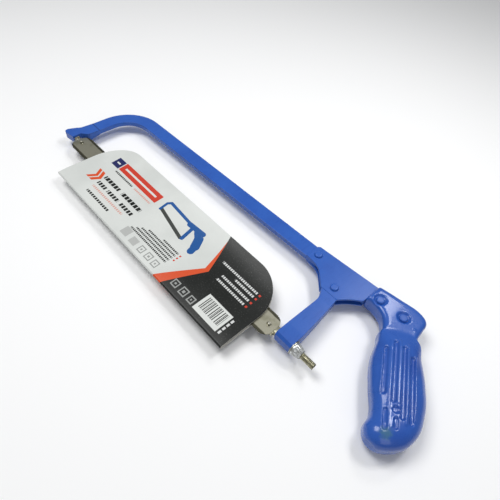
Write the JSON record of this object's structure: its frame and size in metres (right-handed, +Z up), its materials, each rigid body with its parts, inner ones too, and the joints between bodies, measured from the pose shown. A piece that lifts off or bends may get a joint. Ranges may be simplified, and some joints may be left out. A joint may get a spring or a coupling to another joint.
{
  "type": "hacksaw",
  "caption": "Fixed-frame hacksaw lying on its side: bent flat bow, riveted gusset, cast pistol-style handle, screw-tensioned two-edged blade in a folded card sleeve.",
  "frame": {"origin": "under the middle of the saw's bounding box, on the surface that the saw lies on", "axes": "+X along the blade towards the handle, +Y from the blade towards the spine of the bow, +Z up, across the saw's thickness"},
  "size_m": [0.4588, 0.1432, 0.026],
  "materials": {
    "frame_paint": "satin blue enamel over bent and riveted steel",
    "handle_paint": "thick gloss blue enamel on a cast handle",
    "zinc_plate": "yellowish zinc plating",
    "nut_zinc": "bright zinc plating",
    "blade_steel": "dull rolled steel with dark set teeth",
    "printed_card": "satin printed card"
  },
  "bodies": {
    "frame": {"bow_bar": "frame_paint", "front_foot": "frame_paint", "front_blade_holder": "zinc_plate", "front_blade_pin": "zinc_plate", "upper_gusset_plate": "frame_paint", "lower_gusset_plate": "frame_paint", "rear_arm": "frame_paint", "spine_rivet": "frame_paint", "arm_rivet": "frame_paint", "handle_casting": "handle_paint", "handle_front_rivet": "frame_paint", "handle_rear_rivet": "frame_paint", "tension_washer": "zinc_plate"},
    "nut": {"tension_nut": "nut_zinc"},
    "screw": {"tension_screw": "zinc_plate", "rear_blade_pin": "zinc_plate"},
    "blade": {"blade": "blade_steel"},
    "sleeve": {"blade_sleeve": "printed_card"}
  },
  "joints": [
    {"name": "nut_spin", "type": "hinge", "parent": "frame", "child": "nut", "pos_m": [0.12679, -0.02795, 0.013], "axis": [1, 0, 0], "range_deg": [0, 270]},
    {"name": "screw_slide", "type": "slide", "parent": "frame", "child": "screw", "axis": [1, 0, 0], "range_m": [-0.00075, 0]},
    {"name": "blade_lift", "type": "slide", "parent": "frame", "child": "blade", "axis": [0, 0, 1], "range_m": [0, 0.012]},
    {"name": "sleeve_pull", "type": "slide", "parent": "blade", "child": "sleeve", "axis": [0, -1, 0], "range_m": [0, 0.08]}
  ],
  "couplings": [
    {"joint": "nut_spin", "follows": "screw_slide", "rad_per_m": -6283.2}
  ]
}
